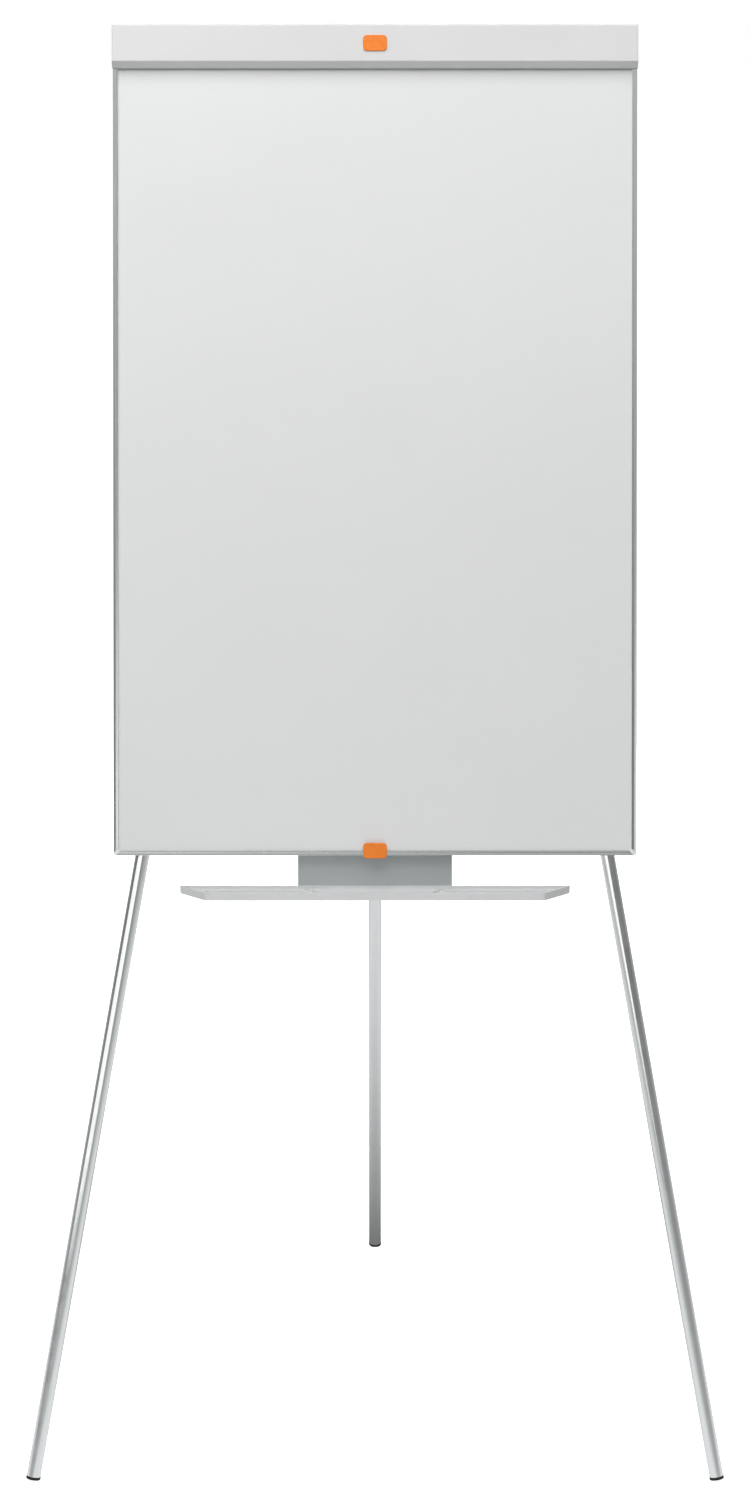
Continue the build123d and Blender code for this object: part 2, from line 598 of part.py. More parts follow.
with BuildPart() as rear_pin_clips:
    with BuildSketch(side_plane(-EAR_INNER - EAR_WALL - FACE_GAP - CLIP_WIDTH)):
        with Locations(*REAR_PINS):
            Circle(PIVOT_RADIUS + PIN_HEAD_RIM)
            Circle(PIVOT_RADIUS + PRESS_GAP, mode=Mode.SUBTRACT)
    extrude(amount=CLIP_WIDTH)
save(rear_pin_clips.part, "rear_pin_clips")

FRONT_PIVOTS = [(-PIVOT_ACROSS, PIVOT_UP), (PIVOT_ACROSS, PIVOT_UP)]
SPACER_BACK = FRONT_AXIS_BACK - UPPER_RADIUS - STOP_GAP
NUT_FRONT = FRONT_AXIS_BACK + UPPER_RADIUS + STOP_GAP
STUD_BACK = NUT_FRONT + WASHER + NUT_HEIGHT + STUD_TAIL

with BuildPart() as pivot_studs:
    with BuildSketch(board_plane(STUD_BACK)):
        with Locations(*FRONT_PIVOTS):
            Circle(PIVOT_RADIUS)
    extrude(amount=STUD_BACK - PLATE_BACK)
save(pivot_studs.part, "pivot_studs")

with BuildPart() as pivot_spacers:
    with BuildSketch(board_plane(SPACER_BACK)):
        with Locations(*FRONT_PIVOTS):
            Circle(SPACER_RADIUS)
            Circle(PIVOT_RADIUS + PRESS_GAP, mode=Mode.SUBTRACT)
    extrude(amount=SPACER_BACK - PLATE_BACK - FACE_GAP)
save(pivot_spacers.part, "pivot_spacers")

with BuildPart() as pivot_nuts:
    with BuildSketch(board_plane(NUT_FRONT + WASHER)):
        with Locations(*FRONT_PIVOTS):
            Circle(WASHER_RADIUS)
            Circle(PIVOT_RADIUS + PRESS_GAP, mode=Mode.SUBTRACT)
    extrude(amount=WASHER)
    with BuildSketch(board_plane(NUT_FRONT + WASHER + NUT_HEIGHT)):
        with Locations(*FRONT_PIVOTS):
            RegularPolygon(NUT_ACROSS / 2, 6, major_radius=False)
            Circle(PIVOT_RADIUS + PRESS_GAP, mode=Mode.SUBTRACT)
    extrude(amount=NUT_HEIGHT)
save(pivot_nuts.part, "pivot_nuts")


def make_guide(side):
    """A strip bent round the leg's path; its two risers stop the leg spread and folded."""
    low = GUIDE_UP - GUIDE_HEIGHT / 2
    shelf = Plane(origin=board_point(0, 0, low), x_dir=(1, 0, 0), z_dir=UP)
    path = [(GUIDE_INNER - GUIDE_WALL - GUIDE_TAB, REAR_SURFACE), (GUIDE_INNER, REAR_SURFACE),
            (GUIDE_INNER, GUIDE_BACK), (GUIDE_OUTER, GUIDE_BACK), (GUIDE_OUTER, REAR_SURFACE),
            (GUIDE_OUTER + GUIDE_WALL + GUIDE_TAB, REAR_SURFACE)]
    with BuildPart() as guide:
        with BuildSketch(shelf):
            with BuildLine():
                FilletPolyline(*[(side * x, y) for x, y in path], radius=GUIDE_BEND)
                offset(amount=GUIDE_WALL, side=Side.LEFT if side > 0 else Side.RIGHT)
            make_face()
        extrude(amount=GUIDE_HEIGHT)
        with BuildSketch(board_plane(PLATE_BACK)):
            with Locations(*[(x, y) for x, y in GUIDE_SCREWS if x * side > 0]):
                Circle(SCREW_RADIUS + SCREW_CLEARANCE)
        extrude(amount=PLATE_WALL, mode=Mode.SUBTRACT)
    return guide.part


save(make_guide(-1), "leg_guide_left")
save(make_guide(1), "leg_guide_right")

with BuildPart() as board_screws:
    for seat, spots in ((PLATE_BACK, PLATE_SCREWS), (BRACKET_BACK + BRACKET_WALL, RAIL_SCREWS)):
        with BuildSketch(board_plane(seat)):
            with Locations(*spots):
                Circle(SCREW_RADIUS)
        extrude(amount=SCREW_LENGTH)
        with BuildSketch(board_plane(seat + SCREW_HEAD)):
            with Locations(*spots):
                Circle(SCREW_HEAD_RADIUS)
        extrude(amount=SCREW_HEAD)
        with BuildSketch(board_plane(seat + SCREW_HEAD)):
            with Locations(*spots):
                Rectangle(DRIVE_LENGTH, DRIVE_WIDTH)
                Rectangle(DRIVE_WIDTH, DRIVE_LENGTH)
        extrude(amount=DRIVE_DEPTH, mode=Mode.SUBTRACT)
save(board_screws.part, "board_screws")

# ---- pen tray and its bracket -------------------------------------------------------------
tray_top_z = SILL_HEIGHT + TRAY_UP * COS - BRACKET_BACK * SIN
tray_back_y = BOARD_ORIGIN.Y + TRAY_UP * SIN + BRACKET_BACK * COS
TRAY_PLANE = Plane(origin=(0, tray_back_y, tray_top_z), x_dir=(1, 0, 0), z_dir=(0, 0, 1))
shelf_up = TRAY_UP - TRAY_HEIGHT / COS
shelf_end = (BRACKET_BACK - SHELF_DEPTH * COS, shelf_up - SHELF_DEPTH * SIN)

with BuildPart() as tray_bracket:
    with BuildSketch(side_plane(-BRACKET_HALF)):
        with BuildLine():
            Polyline((BRACKET_BACK, BRACKET_TOP), (BRACKET_BACK, shelf_up), shelf_end)
            offset(amount=BRACKET_WALL, side=Side.LEFT)
        make_face()
    extrude(amount=2 * BRACKET_HALF)
    with BuildSketch(side_plane(-CLIP_HALF)):
        with BuildLine():
            Polyline((BRACKET_BACK, -CLIP_GAP), (-CLIP_FRONT, -CLIP_GAP), (-CLIP_FRONT, CLIP_TOP))
            offset(amount=BRACKET_WALL, side=Side.LEFT)
        make_face()
    extrude(amount=2 * CLIP_HALF)
    with BuildSketch(board_plane(BRACKET_BACK + BRACKET_WALL)):
        with Locations(*RAIL_SCREWS):
            Circle(SCREW_RADIUS + SCREW_CLEARANCE)
    extrude(amount=BRACKET_WALL, mode=Mode.SUBTRACT)
    with BuildSketch(TRAY_PLANE.offset(-TRAY_HEIGHT - 2 * BRACKET_WALL)):
        with Locations(*TRAY_SCREWS):
            Circle(SCREW_RADIUS + SCREW_CLEARANCE)
    extrude(amount=2 * BRACKET_WALL, mode=Mode.SUBTRACT)
save(tray_bracket.part, "tray_bracket")

end_slope = TRAY_END / TRAY_DEPTH
well_back = -TRAY_RIM - LEDGE
well_front = -TRAY_DEPTH + TRAY_RIM


def tray_outline(grow):
    """The tray from above, with its two front corners rounded, grown by this much all round."""
    with BuildSketch() as outline:
        Polygon((-TRAY_HALF, 0), (-TRAY_HALF + TRAY_END, -TRAY_DEPTH),
                (TRAY_HALF - TRAY_END, -TRAY_DEPTH), (TRAY_HALF, 0), align=None)
        fillet(outline.vertices().group_by(Axis.Y)[0], radius=TRAY_CORNER)
        offset(amount=grow, kind=Kind.INTERSECTION)
    return outline.sketch


def well_end(y):
    return TRAY_HALF + y * end_slope - WELL_END_MARGIN


well = [(WELL_INNER_BACK, -TRAY_RIM), (WELL_INNER_FRONT, well_front), (well_end(well_front), well_front),
        (well_end(well_back), well_back), (LEDGE_INNER_FRONT, well_back), (LEDGE_INNER_BACK, -TRAY_RIM)]

with BuildPart() as pen_tray:
    with BuildSketch(TRAY_PLANE.offset(-TRAY_HEIGHT)):
        add(tray_outline(0))
        Rectangle(2 * TRAY_HALF, TRAY_HEIGHT, align=(Align.CENTER, Align.MIN))
        offset(amount=TRAY_HEIGHT * math.tan(math.radians(TRAY_DRAFT)), kind=Kind.INTERSECTION)
    extrude(amount=TRAY_HEIGHT, taper=TRAY_DRAFT)
    split(bisect_by=board_plane(BRACKET_BACK - LAID_GAP), keep=Keep.TOP)
    with BuildSketch(TRAY_PLANE):
        add(tray_outline(-TRAY_RIM))
    extrude(amount=-TRAY_FLOOR, mode=Mode.SUBTRACT)
    with BuildSketch(TRAY_PLANE.offset(-TRAY_FLOOR)):
        Polygon(*well, align=None)
        Polygon(*[(-x, y) for x, y in reversed(well)], align=None)
    extrude(amount=-WELL_DEPTH, mode=Mode.SUBTRACT)
    with BuildSketch(TRAY_PLANE.offset(-TRAY_HEIGHT)):
        with Locations(*TRAY_SCREWS):
            Circle(SCREW_RADIUS + PRESS_GAP)
    extrude(amount=TRAY_SCREW_DEPTH + BORE_SPARE, mode=Mode.SUBTRACT)
save(pen_tray.part, "pen_tray")

with BuildPart() as tray_screws:
    with BuildSketch(TRAY_PLANE.offset(-TRAY_HEIGHT - BRACKET_WALL - SCREW_HEAD)):
        with Locations(*TRAY_SCREWS):
            Circle(SCREW_HEAD_RADIUS)
    extrude(amount=SCREW_HEAD)
    with BuildSketch(TRAY_PLANE.offset(-TRAY_HEIGHT - BRACKET_WALL - SCREW_HEAD)):
        with Locations(*TRAY_SCREWS):
            Circle(SCREW_RADIUS)
    extrude(amount=SCREW_HEAD + BRACKET_WALL + TRAY_SCREW_DEPTH)
    with BuildSketch(TRAY_PLANE.offset(-TRAY_HEIGHT - BRACKET_WALL - SCREW_HEAD)):
        with Locations(*TRAY_SCREWS):
            Rectangle(DRIVE_LENGTH, DRIVE_WIDTH)
            Rectangle(DRIVE_WIDTH, DRIVE_LENGTH)
    extrude(amount=DRIVE_DEPTH, mode=Mode.SUBTRACT)
save(tray_screws.part, "tray_screws")


def make_badge(back, up):
    """A plain plate with well-rounded corners and a softened front edge."""
    with BuildPart() as badge:
        with BuildSketch(board_plane(back)):
            with Locations((0, up)):
                RectangleRounded(BADGE_LENGTH, BADGE_HEIGHT, BADGE_CORNER)
        extrude(amount=BADGE_THICKNESS)
        front = badge.faces().sort_by(Axis(board_point(0, 0, 0), BACK))[0]
        fillet(front.edges(), radius=BADGE_THICKNESS / 2)
    return badge.part


save(make_badge(-CLAMP_FRONT - LAID_GAP, BADGE_TOP_UP), "badge_top")
save(make_badge(-CLIP_FRONT - BRACKET_WALL - LAID_GAP, BADGE_BOTTOM_UP), "badge_bottom")

# ---- legs ---------------------------------------------------------------------------------
def make_upper_tube(leg, upper, pin_plane):
    with BuildPart() as tube:
        with BuildSketch(leg.offset(-TUBE_OVERHANG)):
            Circle(UPPER_RADIUS)
            Circle(UPPER_RADIUS - TUBE_WALL, mode=Mode.SUBTRACT)
        extrude(amount=TUBE_OVERHANG + upper)
        with BuildSketch(pin_plane):
            Circle(PIVOT_RADIUS + RUNNING_FIT)
        extrude(amount=2 * UPPER_RADIUS, both=True, mode=Mode.SUBTRACT)
    return tube.part


def make_cap(leg):
    """Plug for the open top of the upper tube."""
    with BuildPart() as cap:
        with BuildSketch(leg.offset(-TUBE_OVERHANG - CAP_WALL)):
            Circle(UPPER_RADIUS)
        extrude(amount=CAP_WALL)
        fillet(cap.edges().group_by(Axis(leg.origin, leg.z_dir))[0], radius=CAP_EDGE)
        with BuildSketch(leg.offset(-TUBE_OVERHANG)):
            Circle(UPPER_RADIUS - TUBE_WALL - PRESS_GAP)
        extrude(amount=CAP_SPIGOT)
    return cap.part


def make_collar(leg, upper):
    """Lock collar moulded round the end of the upper tube, with ears for the lever."""
    ear_mid = upper - LEVER_ALONG
    with BuildPart() as collar:
        with BuildSketch(leg.offset(upper - COLLAR_ABOVE)):
            Circle(COLLAR_RADIUS)
        extrude(amount=COLLAR_ABOVE + COLLAR_BELOW)
        chamfer(collar.edges(), length=COLLAR_CHAMFER)
        with BuildSketch(leg_back(leg, ear_mid)):
            Rectangle(2 * EAR_BLOCK_HALF, EAR_BLOCK_HEIGHT)
        extrude(amount=EAR_BLOCK_BACK)
        with BuildSketch(leg_back(leg, ear_mid).offset(LEVER_SLOT_FLOOR)):
            Rectangle(2 * (LEVER_HALF + STOP_GAP), 2 * EAR_BLOCK_HEIGHT)
        extrude(amount=EAR_BLOCK_BACK, mode=Mode.SUBTRACT)
        with BuildSketch(leg.offset(upper - COLLAR_ABOVE)):
            Circle(UPPER_RADIUS + PRESS_GAP)
        extrude(amount=COLLAR_ABOVE + BORE_SPARE, mode=Mode.SUBTRACT)
        with BuildSketch(leg.offset(upper)):
            Circle(LOWER_RADIUS + COLLAR_FIT)
        extrude(amount=COLLAR_BELOW, mode=Mode.SUBTRACT)
        with BuildSketch(leg_side(leg, ear_mid)):
            with Locations((LEVER_BACK, 0)):
                Circle(LEVER_PIN_RADIUS + PRESS_GAP)
        extrude(amount=2 * EAR_BLOCK_HALF, both=True, mode=Mode.SUBTRACT)
    return collar.part


def make_lever_pin(leg, upper):
    with BuildPart() as pin:
        with BuildSketch(leg_side(leg, upper - LEVER_ALONG)):
            with Locations((LEVER_BACK, 0)):
                Circle(LEVER_PIN_RADIUS)
        extrude(amount=EAR_BLOCK_HALF + LEVER_PIN_PROUD, both=True)
    return pin.part


def make_lever(leg, upper):
    """Cam lever: a round hub between the ears and a thumb plate that lies along the tube."""
    plate_front = EAR_BLOCK_BACK + LEVER_PLATE_GAP
    plate_mid = plate_front + LEVER_PLATE / 2
    web_root = LEVER_BACK - LEVER_PIN_RADIUS
    with BuildPart() as lever:
        with BuildSketch(leg_side(leg, upper - LEVER_ALONG)):
            with Locations((LEVER_BACK, 0)):
                Circle(LEVER_HUB)
            Polygon((web_root, 0), (plate_front + LEVER_PLATE, LEVER_WEB_LOW),
                    (plate_front + LEVER_PLATE, LEVER_WEB_HIGH), (plate_front, LEVER_WEB_HIGH),
                    (web_root, LEVER_HUB), align=None)
        extrude(amount=LEVER_HALF, both=True)
        with BuildSketch(leg_side(leg, upper - LEVER_ALONG)):
            with Locations((plate_mid, (LEVER_START + LEVER_REACH) / 2)):
                Rectangle(LEVER_PLATE, LEVER_REACH - LEVER_START)
        extrude(amount=LEVER_PLATE_HALF, both=True)
        tips = lever.edges().filter_by(Axis(leg.origin, leg.x_dir))
        fillet(tips.group_by(Axis(leg.origin, leg.z_dir))[0], radius=LEVER_TIP_CORNER)
        rib_top = LEVER_REACH - LEVER_TIP_CORNER
        with BuildSketch(leg_side(leg, upper - LEVER_ALONG)):
            for count in range(RIB_COUNT):
                with Locations((plate_front + LEVER_PLATE, rib_top - count * RIB_SPACING)):
                    Circle(RIB_RADIUS)
        extrude(amount=LEVER_PLATE_HALF - 2 * RIB_RADIUS, both=True)
        with BuildSketch(leg_side(leg, upper - LEVER_ALONG)):
            with Locations((LEVER_BACK, 0)):
                Circle(LEVER_PIN_RADIUS + RUNNING_FIT)
        extrude(amount=2 * LEVER_HALF, both=True, mode=Mode.SUBTRACT)
    return lever.part


def make_lower_tube(leg, upper, length):
    with BuildPart() as tube:
        with BuildSketch(leg.offset(upper - OVERLAP)):
            Circle(LOWER_RADIUS)
            Circle(LOWER_RADIUS - TUBE_WALL, mode=Mode.SUBTRACT)
        extrude(amount=length - FOOT_RISE - FOOT_THICKNESS - upper + OVERLAP)
    return tube.part


def make_bush(leg, upper):
    """Slide bush over the top end of the lower tube, a running fit in the upper one."""
    with BuildPart() as bush:
        with BuildSketch(leg.offset(upper - OVERLAP - BUSH_HEAD)):
            Circle(UPPER_RADIUS - TUBE_WALL - RUNNING_FIT)
        extrude(amount=BUSH_LENGTH)
        with BuildSketch(leg.offset(upper - OVERLAP)):
            Circle(LOWER_RADIUS + PRESS_GAP)
        extrude(amount=BUSH_LENGTH, mode=Mode.SUBTRACT)
    return bush.part


def make_foot(leg, length):
    """Rubber plug in the end of the tube, square to it and flattened where it stands."""
    tube_end = length - FOOT_RISE - FOOT_THICKNESS
    with BuildPart() as foot:
        with BuildSketch(leg.offset(tube_end)):
            Circle(FOOT_RADIUS)
        extrude(amount=FOOT_THICKNESS)
        fillet(foot.edges().group_by(Axis(leg.origin, leg.z_dir))[-1], radius=FOOT_EDGE)
        with BuildSketch(leg.offset(tube_end - FOOT_SPIGOT)):
            Circle(LOWER_RADIUS - TUBE_WALL - PRESS_GAP)
        extrude(amount=FOOT_SPIGOT)
        split(bisect_by=Plane.XY, keep=Keep.TOP)
    return foot.part


for node, leg, upper, length in (("left", front_leg(-1), FRONT_UPPER, FRONT_LENGTH),
                                 ("right", front_leg(1), FRONT_UPPER, FRONT_LENGTH),
                                 ("rear", rear_leg(), REAR_UPPER, REAR_LENGTH)):
    pin_plane = leg_side(leg, 0) if node == "rear" else leg_back(leg, 0)
    save(make_upper_tube(leg, upper, pin_plane), "leg_upper_" + node)
    save(make_cap(leg), "leg_cap_" + node)
    save(make_collar(leg, upper), "lock_collar_" + node)
    save(make_lever_pin(leg, upper), "lever_pin_" + node)
    save(make_lever(leg, upper), "lock_lever_" + node)
    save(make_lower_tube(leg, upper, length), "leg_lower_" + node)
    save(make_bush(leg, upper), "slide_bush_" + node)
    save(make_foot(leg, length), "foot_" + node)
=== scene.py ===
import json
import math

import bpy
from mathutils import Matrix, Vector


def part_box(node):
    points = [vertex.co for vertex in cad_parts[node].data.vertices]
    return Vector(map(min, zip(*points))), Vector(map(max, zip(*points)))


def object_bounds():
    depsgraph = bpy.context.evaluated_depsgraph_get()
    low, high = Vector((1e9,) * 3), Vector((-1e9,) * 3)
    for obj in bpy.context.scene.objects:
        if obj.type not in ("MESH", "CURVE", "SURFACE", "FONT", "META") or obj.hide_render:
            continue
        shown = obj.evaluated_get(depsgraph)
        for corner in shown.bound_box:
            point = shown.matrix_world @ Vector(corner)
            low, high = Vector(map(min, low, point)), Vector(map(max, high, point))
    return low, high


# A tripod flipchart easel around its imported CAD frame: looks, floor, light and camera.
# Metres, +Z up, the board faces -Y. Left and right are as seen from the front.

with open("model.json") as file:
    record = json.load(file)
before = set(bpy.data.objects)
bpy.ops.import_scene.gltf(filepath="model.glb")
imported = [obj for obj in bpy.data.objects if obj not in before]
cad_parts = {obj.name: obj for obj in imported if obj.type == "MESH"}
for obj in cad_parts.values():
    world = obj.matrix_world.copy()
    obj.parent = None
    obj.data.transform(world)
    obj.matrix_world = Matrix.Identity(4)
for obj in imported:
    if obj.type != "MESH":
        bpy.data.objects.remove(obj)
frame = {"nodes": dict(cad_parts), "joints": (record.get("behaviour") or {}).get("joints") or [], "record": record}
cad_low, cad_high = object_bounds()
record = frame["record"]
nodes = frame["nodes"]
joints = {joint["name"]: joint for joint in frame["joints"]}

SIDES = ("left", "right", "rear")
MM = 0.001

# ---- directions taken from the frame ------------------------------------------------------
across = Vector((1, 0, 0))
board_back = Vector(joints["leg_right_splay"]["axis"])
board_up = across.cross(board_back)
leg_up = {side: Vector(joints[f"leg_{side}_telescope"]["axis"]) for side in SIDES}


# ---- node helpers for the materials -------------------------------------------------------
class Look:
    """One Principled material with helpers for the procedural detail that each surface shows."""

    def __init__(self, name, colour, roughness, metallic=0.0, specular=0.5):
        self.material = bpy.data.materials.new(name)
        self.material.use_nodes = True
        self.tree = self.material.node_tree
        self.shader = self.tree.nodes["Principled BSDF"]
        self.colour = colour
        self.set("Base Color", (*colour, 1))
        self.set("Roughness", roughness)
        self.set("Metallic", metallic)
        self.set("Specular IOR Level", specular)

    def set(self, socket, value):
        self.shader.inputs[socket].default_value = value

    def node(self, kind, **settings):
        made = self.tree.nodes.new(kind)
        for key, value in settings.items():
            setattr(made, key, value)
        return made

    def link(self, start, end):
        self.tree.links.new(start, end)

    def place(self, grain=None, stretch=1.0):
        """Coordinates fixed to the piece; along the grain they are stretched that many times."""
        source = self.node("ShaderNodeTexCoord").outputs["Object"]
        if grain is None:
            return source
        turn = self.node("ShaderNodeMapping", vector_type="TEXTURE")
        turn.inputs["Rotation"].default_value = grain.to_track_quat("Z", "Y").to_euler()
        turn.inputs["Scale"].default_value = (1, 1, stretch)
        self.link(source, turn.inputs["Vector"])
        return turn.outputs["Vector"]

    def noise(self, size, detail=3.0, roughness=0.5, where=None):
        """Soft noise whose features are about that size in metres."""
        made = self.node("ShaderNodeTexNoise")
        made.inputs["Scale"].default_value = 1 / size
        made.inputs["Detail"].default_value = detail
        made.inputs["Roughness"].default_value = roughness
        self.link(where or self.place(), made.inputs["Vector"])
        return made.outputs["Fac"]

    def cells(self, size):
        """Small rounded cells of about that size in metres."""
        made = self.node("ShaderNodeTexVoronoi")
        made.inputs["Scale"].default_value = 1 / size
        self.link(self.place(), made.inputs["Vector"])
        return made.outputs["Distance"]

    def spread(self, value, low, high, start=0.35, end=0.65):
        """Stretches value from start..end to low..high."""
        made = self.node("ShaderNodeMapRange")
        for key, number in (("From Min", start), ("From Max", end), ("To Min", low), ("To Max", high)):
            made.inputs[key].default_value = number
        self.link(value, made.inputs["Value"])
        return made.outputs["Result"]

    def rough(self, value, low, high):
        """Runs the roughness from low to high with value."""
        self.link(self.spread(value, low, high), self.shader.inputs["Roughness"])

    def tint(self, value, colour, start=0.35, end=0.65):
        """Runs the base colour towards another one where value is high."""
        made = self.node("ShaderNodeMix", data_type="RGBA")
        made.inputs["A"].default_value = self.shader.inputs["Base Color"].default_value
        made.inputs["B"].default_value = (*colour, 1)
        before = self.shader.inputs["Base Color"].links
        if before:
            self.link(before[0].from_socket, made.inputs["A"])
        self.link(self.spread(value, 0, 1, start, end), made.inputs["Factor"])
        self.link(made.outputs["Result"], self.shader.inputs["Base Color"])

    def bump(self, height, depth):
        """Adds relief of about that depth in metres."""
        made = self.node("ShaderNodeBump")
        made.inputs["Strength"].default_value = 1.0
        made.inputs["Distance"].default_value = depth
        self.link(height, made.inputs["Height"])
        self.link(made.outputs["Normal"], self.shader.inputs["Normal"])


def shade(colour, factor):
    """The colour made that many times as bright."""
    return tuple(min(1.0, channel * factor) for channel in colour)


# ---- materials ----------------------------------------------------------------------------
def enamel():
    """Dry-wipe enamel: satin, with faint orange peel and a trace of wiped-off ink haze."""
    colour = (0.819, 0.826, 0.822)
    look = Look("dry_wipe_enamel", colour, 0.46)
    look.tint(look.noise(0.22, 4, 0.6), shade(colour, 0.985))
    look.rough(look.noise(0.05, 3), 0.42, 0.50)
    look.bump(look.noise(0.004, 2), 0.000012)
    return look


def powder_coat(name, colour, gloss=0.42, flake=0.0):
    """Powder coat: fine orange peel, a little uneven in gloss."""
    look = Look(name, colour, gloss, metallic=flake)
    look.tint(look.noise(0.12, 3), shade(colour, 0.97))
    look.rough(look.noise(0.02, 3), gloss - 0.05, gloss + 0.05)
    look.bump(look.noise(0.0016, 2), 0.00003)
    return look


def anodised(name, grain):
    """Silver anodised extrusion: satin, with fine die lines along its length."""
    colour = (0.56, 0.575, 0.575)
    look = Look(name, colour, 0.25, metallic=1.0)
    lines = look.noise(0.0009, 3, 0.6, look.place(grain, 160))
    look.tint(lines, shade(colour, 0.9))
    look.rough(lines, 0.20, 0.30)
    look.bump(lines, 0.00002)
    return look


def moulded(name, colour, gloss=0.48):
    """Injection-moulded plastic with a fine spark-eroded grain."""
    look = Look(name, colour, gloss)
    look.tint(look.noise(0.03, 3), shade(colour, 0.95))
    look.rough(look.noise(0.008, 3), gloss - 0.06, gloss + 0.06)
    look.bump(look.cells(0.0007), 0.00002)
    return look


# Painted shade: the grey that darkens the tray's upward faces.
PAINTED_SHADE_GREY = (0.60, 0.61, 0.615)
PAINTED_SHADE_SLOPE = (0.5, 0.9)   # painted shade from none to full, as the cosine of a face's slope


def tray_plastic():
    """The tray's moulding, with painted shade that greys its upward faces."""
    look = moulded("tray_plastic", (0.78, 0.79, 0.79), 0.5)
    upward = look.node("ShaderNodeVectorMath", operation="DOT_PRODUCT")
    look.link(look.node("ShaderNodeTexCoord").outputs["Normal"], upward.inputs[0])
    upward.inputs[1].default_value = board_up
    # painted shade: the faces that look upward are tinted greyer
    look.tint(upward.outputs["Value"], PAINTED_SHADE_GREY, *PAINTED_SHADE_SLOPE)
    return look


def polished_tube(name, grain, gloss, edge):
    """Bright plated tube, drawn along its length and faintly worn; edge dims it at glancing angles."""
    colour = (0.74, 0.75, 0.755)
    look = Look(name, colour, gloss, metallic=1.0)
    lines = look.noise(0.0012, 3, 0.6, look.place(grain, 220))
    look.tint(lines, shade(colour, 0.94))
    look.rough(look.noise(0.03, 4), gloss, gloss + 0.08)
    look.bump(lines, 0.000006)
    look.set("Specular Tint", (edge, edge, edge, 1))
    return look


def zinc():
    """Bright zinc plate with a brushed, slightly cloudy surface."""
    colour = (0.62, 0.62, 0.60)
    look = Look("zinc_plate", colour, 0.36, metallic=1.0)
    look.tint(look.noise(0.004, 4, 0.65), (0.70, 0.66, 0.55))
    look.rough(look.noise(0.001, 3), 0.30, 0.45)
    look.bump(look.noise(0.0006, 2), 0.00001)
    return look


def rubber():
    """Black rubber, matt, with a little floor dust in patches."""
    colour = (0.022, 0.022, 0.023)
    look = Look("black_rubber", colour, 0.78, specular=0.35)
    look.tint(look.noise(0.006, 4, 0.7), (0.06, 0.058, 0.055), 0.5, 0.8)
    look.rough(look.noise(0.003, 3), 0.70, 0.88)
    look.bump(look.noise(0.0006, 3), 0.00005)
    return look


def fibreboard():
    """Raw fibreboard: matt brown with flecks of fibre."""
    colour = (0.42, 0.31, 0.20)
    look = Look("raw_fibreboard", colour, 0.85)
    look.tint(look.noise(0.0015, 5, 0.7), (0.30, 0.21, 0.13))
    look.bump(look.noise(0.0008, 4), 0.00008)
    return look


def badge_plastic():
    """Glossy orange plate, a little uneven in tone, under a thin clear coat."""
    colour = (0.96, 0.24, 0.012)
    look = Look("orange_plastic", colour, 0.26)
    look.tint(look.noise(0.01, 2), shade(colour, 0.96))
    look.rough(look.noise(0.004, 2), 0.22, 0.30)
    look.bump(look.noise(0.0009, 2), 0.00001)
    look.set("Coat Weight", 0.4)
    look.set("Coat Roughness", 0.12)
    return look


LIGHT_PLASTIC = (0.70, 0.71, 0.71)
DARK_PLASTIC = (0.030, 0.031, 0.033)

looks = {
    "face_enamel": enamel(),
    "core_board": fibreboard(),
    "back_coat": powder_coat("back_coil_coat", (0.56, 0.57, 0.575), 0.5),
    "corner_plastic": moulded("corner_plastic", (0.90, 0.91, 0.91), 0.4),
    "clamp_coat": powder_coat("clamp_powder_coat", (0.755, 0.755, 0.755)),
    "cap_plastic": moulded("cap_plastic", LIGHT_PLASTIC),
    "bracket_coat": powder_coat("bracket_powder_coat", (0.445, 0.468, 0.474), 0.42, 0.5),
    "tray_plastic": tray_plastic(),
    "badge_plastic": badge_plastic(),
    "lock_plastic": moulded("lock_plastic", DARK_PLASTIC, 0.5),
    "bush_plastic": moulded("natural_nylon", (0.72, 0.69, 0.60), 0.4),
    "rubber_black": rubber(),
    "zinc_steel": zinc(),
}
own_looks = {
    "rail_left": anodised("anodised_upright", board_up),
    "rail_bottom": anodised("anodised_level", across),
}
own_looks["rail_right"] = own_looks["rail_left"]
own_looks["rail_top"] = own_looks["hook_rail"] = own_looks["rail_bottom"]
for side in SIDES:
    gloss, edge = (0.26, 0.6) if side == "rear" else (0.12, 0.85)
    tube = polished_tube(f"polished_tube_{side}", leg_up[side], gloss, edge)
    own_looks[f"leg_upper_{side}"] = own_looks[f"leg_lower_{side}"] = tube

for part in record["subparts"]:
    node = nodes[part["node"]]
    look = own_looks.get(part["node"]) or looks[part["material_slot"]]
    node.data.materials.clear()
    node.data.materials.append(look.material)

# ---- floor --------------------------------------------------------------------------------
FLOOR_RADIUS = 60.0
FLOOR_GLOW = 0.92          # keeps the floor pale all the way to the horizon


def make_floor():
    """A pale seamless floor that glows a little of itself. It isn't mirrored and bounces no light."""
    bpy.ops.mesh.primitive_circle_add(vertices=128, radius=FLOOR_RADIUS, fill_type="NGON")
    floor = bpy.context.object
    floor.name = "studio_floor"
    look = Look("pale_floor", (0.9, 0.9, 0.9), 0.9, specular=0.0)
    look.tint(look.noise(0.8, 3), (0.88, 0.88, 0.88))
    look.set("Emission Color", (1, 1, 1, 1))
    look.set("Emission Strength", FLOOR_GLOW)
    floor.data.materials.append(look.material)
    floor.visible_diffuse = False
    floor.visible_glossy = False


# Brightness of the floor as shiny surfaces mirror it, at these distances from the rear foot.
MIRRORED_FLOOR = [(0.0, 0.22), (0.2, 0.46), (0.5, 0.78), (0.9, 1.00), (2.0, 0.84), (4.0, 0.64)]
